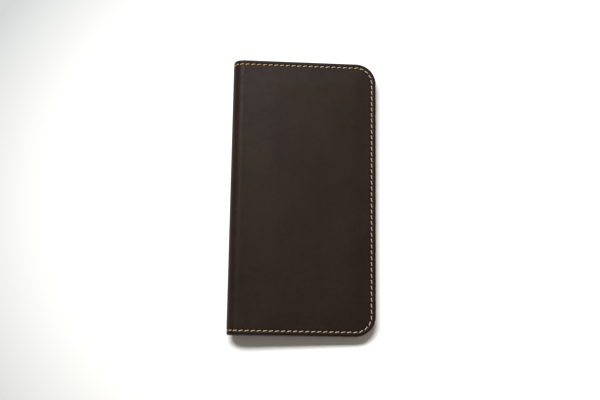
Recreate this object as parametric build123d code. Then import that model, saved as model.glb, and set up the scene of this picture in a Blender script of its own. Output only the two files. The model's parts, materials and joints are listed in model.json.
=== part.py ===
from build123d import *
from math import asin, atan2, cos, degrees, hypot, radians, sin, sqrt
import os

# A long wallet of stitched leather, closed and lying on its back cover. One leather cover wraps round a
# fold at -X and its two halves meet, almost, at the open edge at +X. The wallet is a wedge: thickest at
# the fold. The back half carries a coin pocket with a zip, the front half carries two columns of card
# slots, and each half has a bill pocket that opens towards the fold.
#
# Units are millimetres. The origin is on the table under the middle of the wallet, +Y runs along the
# fold and +Z is up. Each half is drawn flat in its own frame: u runs from the fold to the open edge,
# v along the fold, and w from the outer face inwards. place_half() puts it in the wallet.

# ---------------------------------------------------------------- driving dimensions
LENGTH = 190.0
WIDTH = 100.0
FOLD_HEIGHT = 15.0
EDGE_HEIGHT = 8.8
CORNER_RADIUS = 14.0

COVER = 1.6
LINING = 0.7
PANEL = 0.9
SLOT = 0.8
STEM = 0.4

STITCH_PITCH = 4.0
STITCH_LENGTH = 3.0
THREAD_WIDTH = 0.6
THREAD_HEIGHT = 0.6
RAISED_THREAD = 0.35
SEAM_INSET = 3.0
GROOVE_WIDTH = 1.1
GROOVE_DEPTH = 0.65

HINGES = 3
STRIP_GAP = 0.2

FREE_EDGE = 0.8
SLOTS = 4
SLOT_STEP = 12.0
FIRST_SLOT_INSET = 14.0
BAR_OVERLAP = 2.0
SLOT_DEPTH = 43.0
CENTRE_SEAM_HALF = 4.0
BASE_SEAM_INSET = 2.6
SIDE_MARGIN = 7.0
RAMP = 3.0
STEM_CLEARANCE = 1.0

ZIP_FROM_FOLD = 14.5
WINDOW_WIDTH = 9.0
WINDOW_LENGTH = 158.0
ZIP_SEAM_INSET = 1.8
COIN_RISE = 2.2
COIN_SLOPE_FROM = 4.2
COIN_FLAT_FROM = 7.0
COIN_FLAT_TO = 25.0
COIN_FLAT_HALF = 82.0
COIN_SLOPE_HALF = 89.0
TAPE = 0.5
TAPE_HALF_LENGTH = 81.0
TAPE_GAP = 2.8
TAPE_UNDER_RIM = 2.7
TOOTH_PITCH = 2.2
TOOTH_LENGTH = 1.0
TOOTH_HEIGHT = 2.2
TOOTH_REACH = 2.4
TOOTH_LAP = 0.4
TEETH = 66
CLAMP_CLEARANCE = 0.02
STOP_LENGTH = 2.0
STOP_HEIGHT = 2.0
STOP_GAP = 0.2
TOP_STOP_FROM_MIDDLE = 0.5

SLIDER_LENGTH = 8.0
SLIDER_WIDTH = 6.6
SLIDER_AT = 68.5
SLIDER_CORNER = 1.6
PLATE = 0.6
CHANNEL_CLEARANCE = 0.15
TAPE_CLEARANCE = 0.2
BRIDGE_WIDTH = 1.6
BRIDGE_LENGTH = 6.0
BRIDGE_HEIGHT = 1.3
BRIDGE_HOLE_LENGTH = 4.4
BRIDGE_HOLE_HEIGHT = 0.85
PULL_LENGTH = 18.0
PULL_WIDTH = 3.8
PULL_THICKNESS = 0.6
PULL_CORNER = 0.4
PULL_BAR = 0.9
PULL_WINDOW_WIDTH = 2.2
PULL_WINDOW_LENGTH = 3.2
PULL_HOLE_RADIUS = 0.9
PULL_HOLE_FROM_TIP = 2.2
PULL_LIFT = 0.2
PULL_DROOP = 2.3

# ---------------------------------------------------------------- worked out from them
FOLD_RADIUS = FOLD_HEIGHT / 2
FOLD_X = FOLD_RADIUS - WIDTH / 2
EDGE_RUN = WIDTH - FOLD_RADIUS
EDGE_RISE = EDGE_HEIGHT - FOLD_RADIUS
REACH = hypot(EDGE_RUN, EDGE_RISE)
TILT = degrees(asin(FOLD_RADIUS / REACH) - atan2(EDGE_RISE, EDGE_RUN))
HALF_LENGTH = sqrt(REACH**2 - FOLD_RADIUS**2)
FOLD_TURN = 180 + TILT
HINGE_TURN = FOLD_TURN / HINGES
GAP_TURN = degrees(STRIP_GAP / FOLD_RADIUS)

LINING_TOP = COVER + LINING
BASE_TOP = LINING_TOP + PANEL
HALF_Y = LENGTH / 2
BAR = SLOT_STEP + BAR_OVERLAP
FIRST_SLOT = HALF_LENGTH - FIRST_SLOT_INSET

ZIP_LEVEL = BASE_TOP + COIN_RISE - TAPE / 2
WINDOW_NEAR = ZIP_FROM_FOLD - WINDOW_WIDTH / 2
WINDOW_FAR = ZIP_FROM_FOLD + WINDOW_WIDTH / 2
COIN_TOP = BASE_TOP + COIN_RISE + PANEL
CHANNEL_HALF = TOOTH_HEIGHT / 2 + CHANNEL_CLEARANCE
TAPE_SLOT_HALF = TAPE / 2 + TAPE_CLEARANCE
SLIDER_TOP = ZIP_LEVEL + CHANNEL_HALF + PLATE
BASE_SEAM_HALF = HALF_Y - SIDE_MARGIN
TALL = 4 * FOLD_HEIGHT


def place_half(front):
    """The location that carries a half's own frame into the wallet."""
    if not front:
        return Location((FOLD_X, 0, 0))
    lean = radians(TILT)
    start = (FOLD_X + FOLD_RADIUS * sin(lean), 0, FOLD_RADIUS * (1 + cos(lean)))
    return Plane(start, x_dir=(cos(lean), 0, -sin(lean)), z_dir=(-sin(lean), 0, -cos(lean))).location


BACK = place_half(front=False)
FRONT = place_half(front=True)


def save(name, place, *solids):
    """Writes one node: its solids, carried to their place in the wallet."""
    export_step(Compound([place * solid for solid in solids]), f"parts/{name}.step")


# ---------------------------------------------------------------- flat leather
def outline(near, inset=0.0):
    """A half's plan from u = near to the open edge, its two outer corners rounded."""
    far = HALF_LENGTH - inset
    plan = Pos((near + far) / 2, 0) * Rectangle(far - near, LENGTH - 2 * inset)
    return fillet(plan.vertices().group_by(Axis.X)[-1], CORNER_RADIUS - inset)


def flat_sheet(near, low, thickness):
    """A sheet with that plan, its outer face at w = low."""
    return extrude(Pos(0, 0, low) * outline(near), amount=thickness)


def box(u_span, v_span, w_span):
    """A block between the two ends of each span."""
    spans = (u_span, v_span, w_span)
    size = [high - low for low, high in spans]
    middle = [(high + low) / 2 for low, high in spans]
    return Pos(*middle) * Box(*size)


def draped(stations, thickness):
    """A sheet ruled through profiles. A station is (v, [(u, w), ...]), the sheet's underside at that v."""
    sections = []
    for v, under in stations:
        over = [(u, w + thickness) for u, w in reversed(under)]
        sections.append(Face(Wire.make_polygon([(u, v, w) for u, w in under + over])))
    return loft(sections, ruled=True)


def trimmed(sheet):
    """The sheet cut to the wallet's rounded outline."""
    return sheet & extrude(outline(FREE_EDGE), amount=TALL)


# ---------------------------------------------------------------- the fold
def fold_face(outer, inner, start, end):
    """A ring sector about the fold's centre, between two turns counted from the back cover."""

    def at(radius, turn):
        return (-radius * sin(radians(turn)), FOLD_RADIUS - radius * cos(radians(turn)))

    middle = (start + end) / 2
    rim = [
        ThreePointArc(at(outer, start), at(outer, middle), at(outer, end)),
        Line(at(outer, end), at(inner, end)),
        ThreePointArc(at(inner, end), at(inner, middle), at(inner, start)),
        Line(at(inner, start), at(outer, start)),
    ]
    return Plane.XZ * make_face(rim)


def fold_strip(low, high, start, end):
    """A strip of bent leather lying between two depths from the outer face."""
    return extrude(fold_face(FOLD_RADIUS - low, FOLD_RADIUS - high, start, end), amount=HALF_Y, both=True)


def fold_grooves(start, end):
    """The stitching groove's two stretches round the fold, one near each end of the wallet."""
    face = fold_face(FOLD_RADIUS, FOLD_RADIUS - GROOVE_DEPTH, start, end)
    ring = extrude(face, amount=GROOVE_WIDTH / 2, both=True)
    return [Pos(0, side * (HALF_Y - SEAM_INSET), 0) * ring for side in (-1, 1)]


def fold_stitches(first, last):
    """Curved stitches lying in the groove, two to each hinge's turn, at both ends of the wallet."""
    step = HINGE_TURN / 2
    half = degrees(STITCH_LENGTH / 2 / FOLD_RADIUS)
    top = FOLD_RADIUS - GROOVE_DEPTH + THREAD_HEIGHT
    made = []
    for number in range(first, last):
        turn = (number + 0.5) * step
        face = fold_face(top, top - THREAD_HEIGHT, turn - half, turn + half)
        bar = extrude(face, amount=THREAD_WIDTH / 2, both=True)
        made += [Pos(0, side * (HALF_Y - SEAM_INSET), 0) * bar for side in (-1, 1)]
    return made


def strip_span(number):
    """The turns between which fold strip `number` lies, clear of its neighbours."""
    start = (number - 0.5) * HINGE_TURN
    return start + GAP_TURN / 2, start + HINGE_TURN - GAP_TURN / 2


def make_fold():
    """The stretch of cover, lining and stitching between the two halves, as one strip per hinge gap."""
    for number, name in ((1, "lower"), (2, "upper")):
        start, end = strip_span(number)
        cover = fold_strip(0, COVER, start, end)
        for groove in fold_grooves(start - GAP_TURN, end + GAP_TURN):
            cover -= groove
        save(f"fold_cover_{name}", BACK, cover)
        save(f"fold_lining_{name}", BACK, fold_strip(COVER, LINING_TOP, start, end))
        save(f"fold_stitches_{name}", BACK, *fold_stitches(2 * number - 1, 2 * number + 1))


# ---------------------------------------------------------------- covers, linings and their seam
def cover():
    """Half the cover, with its share of the fold and the stitching groove round its three edges."""
    end = HINGE_TURN / 2 - GAP_TURN / 2
    body = flat_sheet(0, 0, COVER) + fold_strip(0, COVER, 0, end)
    near_edge = outline(0, SEAM_INSET - GROOVE_WIDTH / 2)
    far_edge = outline(0, SEAM_INSET + GROOVE_WIDTH / 2)
    body -= extrude(near_edge - far_edge, amount=GROOVE_DEPTH)
    for groove in fold_grooves(0, end + GAP_TURN):
        body -= groove
    return body


def lining():
    """The lining glued inside half the cover."""
    end = HINGE_TURN / 2 - GAP_TURN / 2
    return flat_sheet(0, COVER, LINING) + fold_strip(COVER, LINING_TOP, 0, end)


def stitch(u, v, low, heading, height):
    """One stitch: a round-ended bar lying along `heading` with its underside at w = low."""
    bar = extrude(SlotOverall(STITCH_LENGTH, THREAD_WIDTH), amount=height)
    return Pos(u, v, low) * Rot(0, 0, heading) * bar


def edge_stitches():
    """The stitches in the groove round a half's three edges, and the one on its share of the fold."""
    inset = HALF_Y - SEAM_INSET
    far = HALF_LENGTH - SEAM_INSET
    corners = [(0, -inset), (far, -inset), (far, inset), (0, inset)]
    path = FilletPolyline(*corners, radius=CORNER_RADIUS - SEAM_INSET)
    count = round(path.length / STITCH_PITCH)
    low = GROOVE_DEPTH - THREAD_HEIGHT
    made = fold_stitches(0, 1)
    for number in range(count):
        share = (number + 0.5) / count
        point, along = path @ share, path % share
        made.append(stitch(point.X, point.Y, low, degrees(atan2(along.Y, along.X)), THREAD_HEIGHT))
    return made


def cross_row(u, low, half_length):
    """A row of raised stitches running along the wallet at one u."""
    count = round(2 * half_length / STITCH_PITCH)
    first = -STITCH_PITCH * (count - 1) / 2
    return [stitch(u, first + n * STITCH_PITCH, low, 90, RAISED_THREAD) for n in range(count)]


def make_covers():
    """The pieces that both halves share."""
    for name, place in (("back", BACK), ("front", FRONT)):
        save(f"{name}_cover", place, cover())
        save(f"{name}_lining", place, lining())
        save(f"{name}_edge_stitches", place, *edge_stitches())
    save("bill_panel", BACK, flat_sheet(FREE_EDGE, LINING_TOP, PANEL))
    save("card_panel", FRONT, flat_sheet(FREE_EDGE, LINING_TOP, PANEL))


# ---------------------------------------------------------------- card slots
def slot_opening(number):
    """Where card slot `number` opens, counted from the open edge, as a u."""
    return FIRST_SLOT - (number - 1) * SLOT_STEP


def slot_line(number, stems_below):
    """The underside of a slot's bar: raised over the bar before it at the mouth, then lower behind."""
    mouth = slot_opening(number)
    floor = BASE_TOP + stems_below * STEM
    lip = floor if number == 1 else BASE_TOP + max(stems_below - 1, 0) * STEM + SLOT
    front = [(mouth - 2 * BAR_OVERLAP, floor), (mouth - BAR_OVERLAP, lip), (mouth, lip)]
    if number < SLOTS:
        return [(mouth - BAR, floor)] + front
    last_stem_end = slot_opening(SLOTS - 1) - SLOT_DEPTH
    behind = [(FREE_EDGE, BASE_TOP), (last_stem_end - 2 * BAR_OVERLAP, BASE_TOP), (last_stem_end, floor)]
    return behind + front


def slot_bar(number):
    """A slot's visible bar: flat at its two ends and at the centre seam, raised over the stems between."""
    margin = slot_line(number, 0)
    column = slot_line(number, number - 1)
    flat_from = HALF_Y - SIDE_MARGIN
    ends = [HALF_Y, flat_from, CENTRE_SEAM_HALF]
    raised = [flat_from - RAMP, CENTRE_SEAM_HALF + RAMP]
    stations = [(v, margin) for v in ends] + [(v, column) for v in raised]
    stations += [(-v, line) for v, line in stations]
    return trimmed(draped(sorted(stations), SLOT))


def slot_stems(number):
    """The two thin tongues behind a slot's bar, which the cards stand on."""
    floor = BASE_TOP + (number - 1) * STEM
    mouth = slot_opening(number)
    inner = CENTRE_SEAM_HALF + RAMP + STEM_CLEARANCE
    outer = HALF_Y - SIDE_MARGIN - RAMP - STEM_CLEARANCE
    u_span = (mouth - SLOT_DEPTH, mouth - BAR + STEM_CLEARANCE)
    return [box(u_span, v_span, (floor, floor + STEM)) for v_span in ((inner, outer), (-outer, -inner))]


def centre_seam():
    """Raised stitches along v = 0 that part the two columns, on the flat stretch of each bar."""
    top = BASE_TOP + SLOT
    stretches = [(2 * BASE_SEAM_INSET, slot_opening(4) - 2 * BAR_OVERLAP)]
    stretches += [(slot_opening(n + 1), slot_opening(n) - 2 * BAR_OVERLAP) for n in (3, 2)]
    stretches += [(slot_opening(2), slot_opening(1))]
    made = []
    for near, far in stretches:
        count = int((far - near) / STITCH_PITCH)
        first = (near + far - (count - 1) * STITCH_PITCH) / 2
        made += [stitch(first + n * STITCH_PITCH, 0, top, 0, RAISED_THREAD) for n in range(count)]
    return made


def make_card_side():
    """Four rows of card slots in two columns, inside the front cover."""
    for number in range(1, SLOTS + 1):
        bar = slot_bar(number)
        for stem in slot_stems(number) if number < SLOTS else []:
            bar += stem
        save(f"card_slot_{number}", FRONT, bar)
    save("card_centre_stitches", FRONT, *centre_seam())
    save("card_base_stitches", FRONT, *cross_row(BASE_SEAM_INSET, BASE_TOP + SLOT, BASE_SEAM_HALF))


# ---------------------------------------------------------------- coin pocket
def coin_panel():
    """The coin pocket's front: raised round the zip, sloping to the seam, with a window for the zip."""
    top = BASE_TOP + COIN_RISE
    seam = HALF_LENGTH - SIDE_MARGIN
    rise = [(FREE_EDGE, BASE_TOP), (COIN_SLOPE_FROM, BASE_TOP), (COIN_FLAT_FROM, top)]
    rise += [(COIN_FLAT_TO, top), (seam, BASE_TOP), (HALF_LENGTH, BASE_TOP)]
    level = [(u, BASE_TOP) for u, w in rise]
    stations = [(HALF_Y, level), (COIN_SLOPE_HALF, level), (COIN_FLAT_HALF, rise)]
    stations += [(-v, line) for v, line in stations]
    window = Pos(ZIP_FROM_FOLD, 0) * SlotOverall(WINDOW_LENGTH, WINDOW_WIDTH, rotation=90)
    return trimmed(draped(sorted(stations), PANEL)) - extrude(window, amount=TALL)


def zip_tape(side):
    """One of the two woven tapes, glued under the window's rim. side is -1 next to the fold, or 1."""
    inner = ZIP_FROM_FOLD + side * TAPE_GAP / 2
    outer = ZIP_FROM_FOLD + side * (WINDOW_WIDTH / 2 + TAPE_UNDER_RIM)
    w_span = (ZIP_LEVEL - TAPE / 2, ZIP_LEVEL + TAPE / 2)
    return box(sorted((inner, outer)), (-TAPE_HALF_LENGTH, TAPE_HALF_LENGTH), w_span)


def tape_cut(side, v, length):
    """The room that a clamp on one tape leaves for the tape."""
    reach = ZIP_FROM_FOLD + side * (TAPE_GAP / 2 - CLAMP_CLEARANCE)
    far = reach + side * TOOTH_REACH
    half = TAPE / 2 + CLAMP_CLEARANCE
    return box(sorted((reach, far)), (v - length, v + length), (ZIP_LEVEL - half, ZIP_LEVEL + half))


def zip_teeth(side):
    """One row of metal teeth, each clamped on the tape and lapping past the middle between its mates."""
    near = ZIP_FROM_FOLD - side * TOOTH_LAP
    far = ZIP_FROM_FOLD + side * TOOTH_REACH
    w_span = (ZIP_LEVEL - TOOTH_HEIGHT / 2, ZIP_LEVEL + TOOTH_HEIGHT / 2)
    first = -TOOTH_PITCH * (TEETH - 0.5) / 2 + (TOOTH_PITCH / 2 if side > 0 else 0)
    tooth = box(sorted((near, far)), (-TOOTH_LENGTH / 2, TOOTH_LENGTH / 2), w_span)
    tooth -= tape_cut(side, 0, TOOTH_LENGTH)
    return [Pos(0, first + n * TOOTH_PITCH, 0) * tooth for n in range(TEETH)]


def zip_stops():
    """The two top stops beyond the last teeth, and the bottom stop that ties both tapes."""
    at = TOOTH_PITCH * TEETH / 2 + STOP_GAP + STOP_LENGTH / 2
    v_span = (at - STOP_LENGTH / 2, at + STOP_LENGTH / 2)
    w_span = (ZIP_LEVEL - STOP_HEIGHT / 2, ZIP_LEVEL + STOP_HEIGHT / 2)
    tops = []
    for side in (-1, 1):
        ends = [ZIP_FROM_FOLD + side * reach for reach in (TOP_STOP_FROM_MIDDLE, TOOTH_REACH)]
        tops.append(box(sorted(ends), v_span, w_span) - tape_cut(side, at, STOP_LENGTH))
    u_span = (ZIP_FROM_FOLD - TOOTH_REACH, ZIP_FROM_FOLD + TOOTH_REACH)
    bottom = box(u_span, (-v_span[1], -v_span[0]), w_span)
    for side in (-1, 1):
        bottom -= tape_cut(side, -at, STOP_LENGTH)
    return tops, bottom


def slider_plate(upper):
    """One of the slider's two plates, its rims turned towards the tape."""
    side = 1 if upper else -1
    face = ZIP_LEVEL + side * CHANNEL_HALF
    rim = ZIP_LEVEL + side * TAPE_SLOT_HALF
    plan = Pos(ZIP_FROM_FOLD, SLIDER_AT) * RectangleRounded(SLIDER_WIDTH, SLIDER_LENGTH, SLIDER_CORNER)
    low, high = sorted((rim, face + side * PLATE))
    body = extrude(Pos(0, 0, low) * plan, amount=high - low)
    half = TOOTH_REACH + CHANNEL_CLEARANCE
    channel = (ZIP_FROM_FOLD - half, ZIP_FROM_FOLD + half)
    ends = (SLIDER_AT - SLIDER_LENGTH, SLIDER_AT + SLIDER_LENGTH)
    return body - box(channel, ends, sorted((ZIP_LEVEL, face)))


def arch_block(length, height):
    """A block on the slider's top plate, as wide as the arch."""
    u_span = (ZIP_FROM_FOLD - BRIDGE_WIDTH / 2, ZIP_FROM_FOLD + BRIDGE_WIDTH / 2)
    v_span = (SLIDER_AT - length / 2, SLIDER_AT + length / 2)
    return box(u_span, v_span, (SLIDER_TOP, SLIDER_TOP + height))


def slider_bridge():
    """The arch on the slider's top plate, which holds the pull."""
    return arch_block(BRIDGE_LENGTH, BRIDGE_HEIGHT) - arch_block(BRIDGE_HOLE_LENGTH, BRIDGE_HOLE_HEIGHT)


def zip_pull():
    """A flat metal pull pointing along -Y: its end bar lies in the arch, its tip droops to the leather."""
    tip = PULL_BAR / 2 - PULL_LENGTH
    plan = Pos(0, (tip + PULL_BAR / 2) / 2) * RectangleRounded(PULL_WIDTH, PULL_LENGTH, PULL_CORNER)
    plan -= Pos(0, -(PULL_BAR + PULL_WINDOW_LENGTH) / 2) * Rectangle(PULL_WINDOW_WIDTH, PULL_WINDOW_LENGTH)
    plan -= Pos(0, tip + PULL_HOLE_FROM_TIP) * Circle(PULL_HOLE_RADIUS)
    flat = extrude(plan, amount=PULL_THICKNESS / 2, both=True)
    pivot = (ZIP_FROM_FOLD, SLIDER_AT, SLIDER_TOP + PULL_LIFT + PULL_THICKNESS / 2)
    return Pos(*pivot) * Rot(PULL_DROOP, 0, 0) * flat


def zip_seam():
    """Raised stitches along both long sides of the zip window."""
    rows = []
    for u in (WINDOW_NEAR - ZIP_SEAM_INSET, WINDOW_FAR + ZIP_SEAM_INSET):
        rows += cross_row(u, COIN_TOP, WINDOW_LENGTH / 2)
    return rows


def make_coin_side():
    """The coin pocket with its zip, inside the back cover."""
    save("coin_panel", BACK, coin_panel())
    save("zip_tape_near_fold", BACK, zip_tape(-1))
    save("zip_tape_far", BACK, zip_tape(1))
    save("zip_teeth_near_fold", BACK, *zip_teeth(-1))
    save("zip_teeth_far", BACK, *zip_teeth(1))
    tops, bottom = zip_stops()
    save("zip_top_stops", BACK, *tops)
    save("zip_bottom_stop", BACK, bottom)
    save("zip_slider_top", BACK, slider_plate(upper=True) + slider_bridge())
    save("zip_slider_bottom", BACK, slider_plate(upper=False))
    save("zip_pull", BACK, zip_pull())
    save("zip_stitches", BACK, *zip_seam())
    save("coin_base_stitches", BACK, *cross_row(BASE_SEAM_INSET, BASE_TOP + PANEL, BASE_SEAM_HALF))


os.makedirs("parts", exist_ok=True)
make_covers()
make_fold()
make_card_side()
make_coin_side()
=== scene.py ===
import json
import math

import bpy
import numpy as np
from mathutils import Matrix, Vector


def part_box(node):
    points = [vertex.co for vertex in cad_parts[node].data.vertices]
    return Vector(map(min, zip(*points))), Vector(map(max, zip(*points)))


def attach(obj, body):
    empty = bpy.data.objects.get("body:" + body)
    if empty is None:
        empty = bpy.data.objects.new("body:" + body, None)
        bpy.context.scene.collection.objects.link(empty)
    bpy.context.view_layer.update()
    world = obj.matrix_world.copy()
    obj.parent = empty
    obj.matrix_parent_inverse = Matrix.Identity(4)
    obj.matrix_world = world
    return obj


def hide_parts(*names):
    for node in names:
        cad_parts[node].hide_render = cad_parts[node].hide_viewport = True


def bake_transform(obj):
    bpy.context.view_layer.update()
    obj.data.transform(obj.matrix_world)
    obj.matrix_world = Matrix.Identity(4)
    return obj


# A long leather wallet, closed, with its fold at -X and its open edge at +X. Everything is in metres, in
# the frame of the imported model. The leather is laid out flat before it is folded: `along` runs over the
# outer face from the back half's open edge, round the fold, to the front half's open edge, with 0 where
# the back half meets the fold. `y` runs along the fold and `depth` goes inwards from the outer face.
# wrap() folds it.

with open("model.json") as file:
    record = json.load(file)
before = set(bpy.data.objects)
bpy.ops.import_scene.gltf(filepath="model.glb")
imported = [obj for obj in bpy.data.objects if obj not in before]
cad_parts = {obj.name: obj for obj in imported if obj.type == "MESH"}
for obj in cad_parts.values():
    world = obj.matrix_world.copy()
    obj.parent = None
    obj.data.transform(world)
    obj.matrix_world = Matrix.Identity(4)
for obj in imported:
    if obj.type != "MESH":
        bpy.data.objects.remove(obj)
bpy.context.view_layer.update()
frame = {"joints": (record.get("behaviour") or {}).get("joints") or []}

# ---------------------------------------------------------------- sizes, in metres
MM = 0.001
LENGTH = 190 * MM
WIDTH = 100 * MM
FOLD_RADIUS = 7.5 * MM
EDGE_HEIGHT = 8.8 * MM
CORNER_RADIUS = 14 * MM
COVER = 1.6 * MM
LINING = 0.7 * MM
PANEL = 0.9 * MM
SLOT = 0.8 * MM
STEM = 0.4 * MM

SEAM_INSET = 3.0 * MM
STITCH_PITCH = 4 * MM
STITCH_LEAN = math.radians(12)
SEAM_SINK = 0.3 * MM
SEAM_SPREAD = 0.9 * MM
HOLE_SHARE = 0.22
EDGE_ROLL = 0.34 * MM
EDGE_ROLL_WIDTH = 2.4 * MM
FRONT_FILL = 0.45 * MM
HANDLING = 0.045 * MM

HINGES = 3
FOLD_STEP = 0.3 * MM
EDGE_STEP = 0.4 * MM
EDGE_BAND = 5.2 * MM
FREE_EDGE = 0.8 * MM
FREE_CORNER = 1.5 * MM
SLOTS = 4
SLOT_STEP = 12 * MM
BAR = 14 * MM
BAR_OVERLAP = 2 * MM
SLOT_DEPTH = 43 * MM
FIRST_SLOT_INSET = 14 * MM
SIDE_MARGIN = 7 * MM
CENTRE_HALF = 4 * MM
RAMP = 3 * MM
STEM_CLEARANCE = 1 * MM
BASE_SEAM_INSET = 2.6 * MM

ZIP_FROM_FOLD = 14.5 * MM
WINDOW_WIDTH = 9 * MM
WINDOW_LENGTH = 158 * MM
ZIP_SEAM_INSET = 1.8 * MM
COIN_RISE = 2.2 * MM
COIN_PROFILE = [4.2 * MM, 7 * MM, 25 * MM]
COIN_FLAT_HALF = 82 * MM
COIN_SLOPE_HALF = 89 * MM
TAPE = 0.5 * MM
TAPE_GAP = 2.8 * MM
TAPE_UNDER_RIM = 2.7 * MM
TAPE_HALF_LENGTH = 81 * MM
TEETH = 66
TOOTH_PITCH = 2.2 * MM
TOOTH_REACH = 2.4 * MM
TOOTH_LAP = 0.4 * MM

# ---------------------------------------------------------------- worked out from them
FOLD_X = FOLD_RADIUS - WIDTH / 2
EDGE_RUN = WIDTH - FOLD_RADIUS
EDGE_RISE = EDGE_HEIGHT - FOLD_RADIUS
REACH = math.hypot(EDGE_RUN, EDGE_RISE)
TILT = math.asin(FOLD_RADIUS / REACH) - math.atan2(EDGE_RISE, EDGE_RUN)
HALF_LENGTH = math.sqrt(REACH**2 - FOLD_RADIUS**2)
HALF_Y = LENGTH / 2
FOLD_TURN = math.pi + TILT
FOLD_ARC = FOLD_RADIUS * FOLD_TURN
HINGE_ARC = FOLD_ARC / HINGES
FOLD_STITCH_ARC = HINGE_ARC / 2
LINING_TOP = COVER + LINING
BASE_TOP = LINING_TOP + PANEL
FIRST_SLOT = HALF_LENGTH - FIRST_SLOT_INSET
ZIP_LEVEL = BASE_TOP + COIN_RISE - TAPE / 2
COIN_TOP = BASE_TOP + COIN_RISE + PANEL

SEAM_RADIUS = CORNER_RADIUS - SEAM_INSET
SEAM_BEND = SEAM_RADIUS * math.pi / 2
CORNER_U = HALF_LENGTH - CORNER_RADIUS
CORNER_V = HALF_Y - CORNER_RADIUS
HALF_SEAM = CORNER_V + SEAM_BEND + CORNER_U
HALF_SEAM_STITCHES = round(HALF_SEAM / STITCH_PITCH)


# ---------------------------------------------------------------- the wallet's shape
def wrap(along, y, depth):
    """Folds laid-out points. Before 0 the leather is the flat back half, x = FOLD_X - along, z = depth.
    Then it turns about the fold's centre, (FOLD_X, FOLD_RADIUS), by along / FOLD_RADIUS at radius
    FOLD_RADIUS - depth. After FOLD_ARC it runs straight on, tilted down by TILT, as the front half."""
    turn = np.clip(along / FOLD_RADIUS, 0, FOLD_TURN)
    radius = FOLD_RADIUS - depth
    behind = np.minimum(along, 0)
    beyond = np.maximum(along - FOLD_ARC, 0)
    x = FOLD_X - radius * np.sin(turn) - behind + beyond * math.cos(TILT)
    z = FOLD_RADIUS - radius * np.cos(turn) - beyond * math.sin(TILT)
    return np.stack([x, y + 0 * x, z], axis=-1)


def from_fold(along):
    """The distance u from the fold's nearer end towards the open edge: negative on the fold itself."""
    return np.where(along < FOLD_ARC / 2, -along, along - FOLD_ARC)


def smooth(value):
    """Goes smoothly from 0 to 1 as the value does: 3 t^2 - 2 t^3."""
    t = np.clip(value, 0, 1)
    return t * t * (3 - 2 * t)


def ridge(distance, spread):
    """A soft rounded ridge, exp(-(distance / spread)^2)."""
    return np.exp(-((distance / spread) ** 2))


def inset(u, v):
    """The distance in from a half's sewn outline: CORNER_RADIUS less the distance from the corner's
    centre within a round corner, and the distance to the nearer straight edge elsewhere."""
    x = np.maximum(u - CORNER_U, 0)
    y = np.maximum(np.abs(v) - CORNER_V, 0)
    straight = np.minimum(HALF_LENGTH - u, HALF_Y - np.abs(v))
    return np.where((x > 0) & (y > 0), CORNER_RADIUS - np.hypot(x, y), straight)


def stitches_away(u, v):
    """How many stitches lie along the edge seam between the middle of the open edge and the point beside
    (u, v): |v| along the open edge, then the corner's arc, then CORNER_U - u along the side and on over
    the fold."""
    x, y = u - CORNER_U, np.abs(v) - CORNER_V
    corner = CORNER_V + SEAM_RADIUS * np.arctan2(np.maximum(y, 0), np.maximum(x, 1e-9))
    side = CORNER_V + SEAM_BEND - x
    run = np.where(x <= 0, side, np.where(y <= 0, np.abs(v), corner))
    pitch = np.where(u < 0, FOLD_STITCH_ARC, HALF_SEAM / HALF_SEAM_STITCHES)
    return HALF_SEAM_STITCHES * (u < 0) + np.where(u < 0, -u, run) / pitch


def seam_dip(u, v):
    """How far the tight edge seam draws the leather in: a soft channel along it, a little deeper at the
    holes."""
    holes = 1 + HOLE_SHARE * np.cos(2 * np.pi * stitches_away(u, v))
    return SEAM_SINK * holes * ridge(inset(u, v) - SEAM_INSET, SEAM_SPREAD)


def edge_thinning(u, v):
    """The outer face rolls over by EDGE_ROLL towards the cut edge, within EDGE_ROLL_WIDTH of it."""
    return EDGE_ROLL * (1 - smooth(inset(u, v) / EDGE_ROLL_WIDTH)) ** 1.5


def handling(u, v):
    """Slight unevenness of soft leather: three long waves that cross each other."""
    waves = np.sin(u / (17 * MM) + v / (41 * MM)) + np.sin(v / (23 * MM) - u / (29 * MM) + 1.3)
    waves = waves + 0.7 * np.sin((u + 1.7 * v) / (13 * MM) + 2.1)
    return HANDLING * waves * smooth((inset(u, v) - SEAM_INSET) / (12 * MM)) * smooth(u / (20 * MM))


def cover_outer(along, y):
    """The cover's outer face. The front is filled out by what lies under it, and both give way at the
    seam."""
    u = from_fold(along)
    front = along > FOLD_ARC / 2
    fill = FRONT_FILL * smooth((inset(u, y) - SEAM_INSET) / (15 * MM)) * smooth(u / (25 * MM))
    return seam_dip(u, y) + edge_thinning(u, y) - front * (fill + handling(u, y))


# ---------------------------------------------------------------- shells: points, four-cornered faces and UV
def shell(points, faces, uv, paint=None, wear_and_shade=None):
    """A mesh as arrays: points (n, 3), faces (m, 4), uv (m, 4, 2), paint (m), 1 where a face takes the
    piece's second finish, and the darkening mask (n), from 0 on open leather to 1 at the cut edge: wear at
    the cut edge, painted shade along seams and creases."""
    paint = np.zeros(len(faces), int) if paint is None else paint
    wear_and_shade = np.zeros(len(points)) if wear_and_shade is None else wear_and_shade
    return {"points": points, "faces": faces, "uv": uv, "paint": paint, "wear_and_shade": wear_and_shade}


def together(*shells):
    """Several shells as one, each one's faces numbered on from the last one's points."""
    firsts = np.cumsum([0] + [len(s["points"]) for s in shells[:-1]])
    joined = {key: np.concatenate([s[key] for s in shells]) for key in ("points", "uv", "paint", "wear_and_shade")}
    joined["faces"] = np.concatenate([s["faces"] + first for s, first in zip(shells, firsts)])
    return joined


def repeated(one, moves):
    """Copies of a shell, one for each move (n, 3)."""
    count, size = len(moves), len(one["points"])
    points = (one["points"][None] + moves[:, None]).reshape(-1, 3)
    faces = (one["faces"][None] + size * np.arange(count)[:, None, None]).reshape(-1, 4)
    return shell(points, faces, np.tile(one["uv"], (count, 1, 1)), np.tile(one["paint"], count),
                 np.tile(one["wear_and_shade"], count))


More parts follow.
